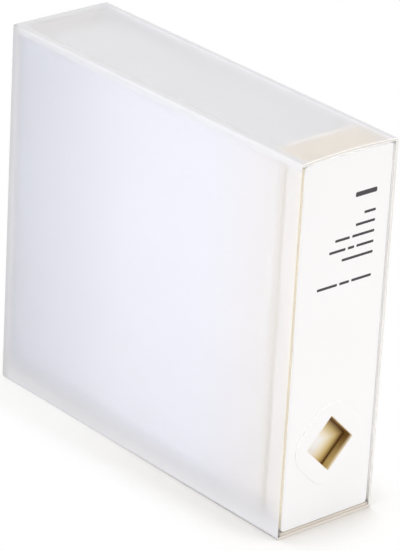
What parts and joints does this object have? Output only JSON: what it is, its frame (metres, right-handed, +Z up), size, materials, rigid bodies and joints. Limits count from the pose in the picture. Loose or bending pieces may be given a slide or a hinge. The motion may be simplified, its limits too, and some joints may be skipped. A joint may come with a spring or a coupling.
{
  "type": "disc file in a slipcase",
  "caption": "Tall narrow disc storage box: a hinged file with a square finger pull and pocket leaves slides out of a frosted translucent slipcase.",
  "frame": {"origin": "on the ground, under the middle of the slipcase", "axes": "+Z up, -Y towards the open front and the spine of the file, +X to the right of someone facing the spine"},
  "size_m": [0.0494, 0.178, 0.1609],
  "materials": {
    "frosted_sheet": "frosted translucent polypropylene sheet, fine matt grain outside",
    "cream_cover": "moulded polypropylene, soft matt",
    "ivory_pull": "moulded polypropylene, satin",
    "beige_binding": "thin pleated polypropylene sheet, matt",
    "white_liner": "embossed non-woven polypropylene",
    "clear_film": "clear soft film"
  },
  "bodies": {
    "case": {"slipcase": "frosted_sheet"},
    "file": {"file_cover": "cream_cover", "finger_pull": "ivory_pull", "binding_pleats": "beige_binding", "leaf_01_liner": "white_liner", "leaf_01_left_pocket": "clear_film", "leaf_01_right_pocket": "clear_film", "leaf_02_liner": "white_liner", "leaf_02_left_pocket": "clear_film", "leaf_02_right_pocket": "clear_film", "leaf_03_liner": "white_liner", "leaf_03_left_pocket": "clear_film", "leaf_03_right_pocket": "clear_film", "leaf_04_liner": "white_liner", "leaf_04_left_pocket": "clear_film", "leaf_04_right_pocket": "clear_film", "leaf_05_liner": "white_liner", "leaf_05_left_pocket": "clear_film", "leaf_05_right_pocket": "clear_film", "leaf_06_liner": "white_liner", "leaf_06_left_pocket": "clear_film", "leaf_06_right_pocket": "clear_film", "leaf_07_liner": "white_liner", "leaf_07_left_pocket": "clear_film", "leaf_07_right_pocket": "clear_film", "leaf_08_liner": "white_liner", "leaf_08_left_pocket": "clear_film", "leaf_08_right_pocket": "clear_film", "leaf_09_liner": "white_liner", "leaf_09_left_pocket": "clear_film", "leaf_09_right_pocket": "clear_film", "leaf_10_liner": "white_liner", "leaf_10_left_pocket": "clear_film", "leaf_10_right_pocket": "clear_film", "leaf_11_liner": "white_liner", "leaf_11_left_pocket": "clear_film", "leaf_11_right_pocket": "clear_film", "leaf_12_liner": "white_liner", "leaf_12_left_pocket": "clear_film", "leaf_12_right_pocket": "clear_film"}
  },
  "joints": [
    {"name": "file_slide", "type": "slide", "parent": "case", "child": "file", "axis": [0, -1, 0], "range_m": [0, 0.18]}
  ]
}
